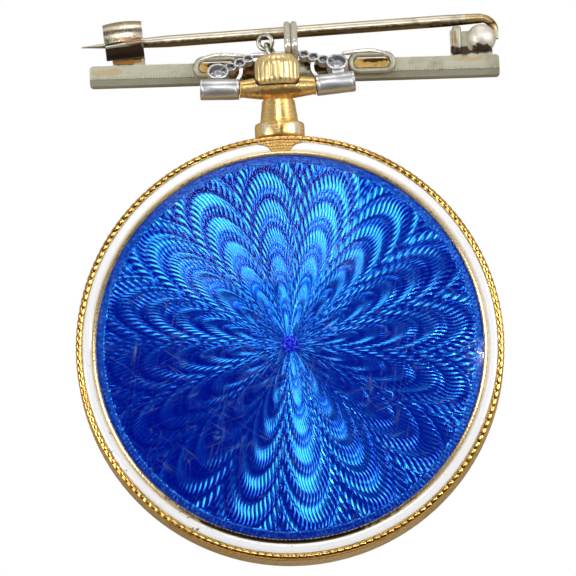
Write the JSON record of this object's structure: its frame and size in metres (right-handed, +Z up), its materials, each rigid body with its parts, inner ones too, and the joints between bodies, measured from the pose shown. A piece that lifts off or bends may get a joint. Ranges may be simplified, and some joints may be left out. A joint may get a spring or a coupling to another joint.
{
  "type": "pendant watch",
  "caption": "Round pendant watch with an enamelled engine-turned back, fluted crown and diamond bow, hung by a bail from a bar brooch.",
  "frame": {"origin": "the axis of the case at the outer face of the watch glass, which lies on the surface", "axes": "+Z up, out of the enamelled back; +Y along the pendant, towards the winding crown; +X to the right in the picture"},
  "size_m": [0.0308, 0.0393, 0.0078],
  "materials": {
    "gold": "polished yellow gold with fine wear",
    "silver": "worn silver with warm tarnish",
    "platinum": "polished platinum",
    "nickel": "nickel plate",
    "blued_steel": "heat-blued steel",
    "blue_enamel": "clear blue enamel over engine turning",
    "white_enamel": "glossy opaque white enamel",
    "dial_enamel": "white enamel dial",
    "diamond": "cut diamond",
    "watch_glass": "clear flat glass"
  },
  "bodies": {
    "watch": {"case_middle": "gold", "front_bezel": "gold", "watch_glass": "watch_glass", "dial": "dial_enamel", "movement": "nickel", "back_cover": "gold", "white_enamel": "white_enamel", "blue_enamel": "blue_enamel", "bail": "silver", "brooch_pin": "silver"},
    "sleeve": {"winding_sleeve": "nickel"},
    "crown": {"crown": "gold"},
    "hour_hand": {"hour_hand": "blued_steel"},
    "minute_hand": {"minute_hand": "blued_steel"},
    "bow": {"bow": "platinum", "main_diamond_left": "diamond", "main_diamond_right": "diamond", "small_diamonds": "diamond", "jump_ring_oval": "silver", "jump_ring_link": "silver"},
    "brooch": {"brooch_frame": "silver", "loop_backing_left": "gold", "loop_backing_right": "gold"}
  },
  "joints": [
    {"name": "crown_turn", "type": "hinge", "parent": "watch", "child": "sleeve", "pos_m": [0, 0.0165, 0.0041], "axis": [0, 1, 0], "continuous": true},
    {"name": "crown_pull", "type": "slide", "parent": "sleeve", "child": "crown", "axis": [0, 1, 0], "range_m": [0, 0.0002]},
    {"name": "minute_turn", "type": "hinge", "parent": "watch", "child": "minute_hand", "pos_m": [0, 0, 0.0015], "axis": [0, 0, 1], "continuous": true},
    {"name": "hour_turn", "type": "hinge", "parent": "watch", "child": "hour_hand", "pos_m": [0, 0, 0.00188], "axis": [0, 0, 1], "continuous": true},
    {"name": "bow_swing", "type": "hinge", "parent": "watch", "child": "bow", "pos_m": [0, 0.0187, 0.0041], "axis": [1, 0, 0], "range_deg": [0, 15]},
    {"name": "brooch_hinge", "type": "hinge", "parent": "watch", "child": "brooch", "pos_m": [0.0145, 0.0219, 0.00105], "axis": [0, 0, 1], "range_deg": [0, 14]}
  ],
  "couplings": [
    {"joint": "hour_turn", "follows": "minute_turn", "ratio": 0.083333}
  ]
}
